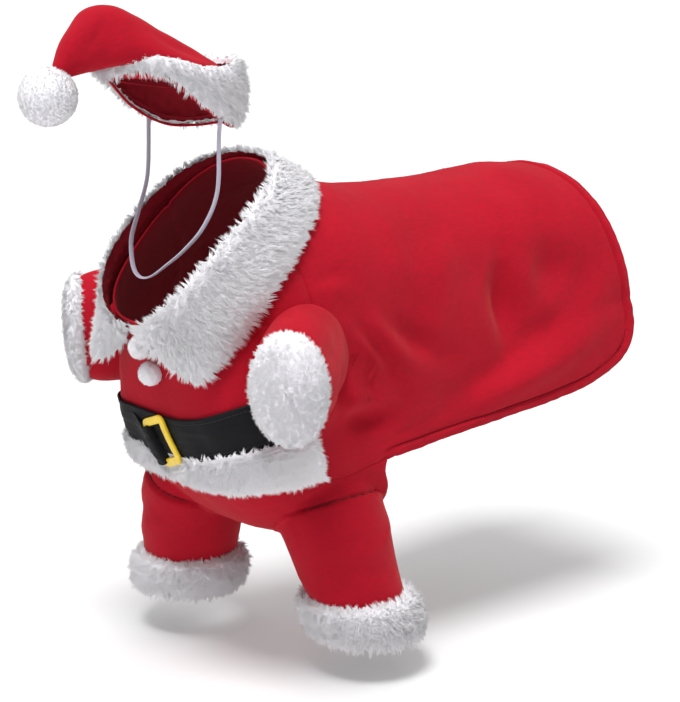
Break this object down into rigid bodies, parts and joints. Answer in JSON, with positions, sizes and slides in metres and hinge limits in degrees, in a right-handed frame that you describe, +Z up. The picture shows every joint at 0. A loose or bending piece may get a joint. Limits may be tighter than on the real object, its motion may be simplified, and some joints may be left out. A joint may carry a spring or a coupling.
{
  "type": "dog santa suit",
  "caption": "Red festive coat for a dog as worn, with fur collar, belt and buckle, stuffed arms, foreleg trousers with fur cuffs, and a flopped hat on a chin elastic.",
  "frame": {"origin": "the point on the inside of the coat, on its middle line, where it lies on the dog's withers", "axes": "+Z up, +Y from the head to the tail, +X to the dog's left"},
  "size_m": [0.3064, 0.5487, 0.5105],
  "materials": {
    "red_cloth": "brushed velour knit, soft sheen",
    "white_fur": "long-pile faux fur",
    "white_plush": "short-pile plush",
    "black_cloth": "soft black knit strap",
    "yellow_plastic": "moulded, satin gloss",
    "grey_elastic": "flat woven elastic"
  },
  "bodies": {
    "root": {"back_panel": "red_cloth", "jacket_front": "red_cloth", "trouser_front": "red_cloth", "fur_band": "white_fur", "belt": "black_cloth", "buckle": "yellow_plastic", "leg_left": "red_cloth", "cuff_left": "white_fur", "arm_left": "red_cloth", "mitten_left": "white_fur", "leg_right": "red_cloth", "cuff_right": "white_fur", "arm_right": "red_cloth", "mitten_right": "white_fur", "collar": "white_fur", "button_upper": "white_plush", "button_lower": "white_plush", "hat_cone": "red_cloth", "hat_brim": "white_fur", "hat_pompom": "white_plush", "chin_elastic": "grey_elastic"}
  },
  "joints": []
}
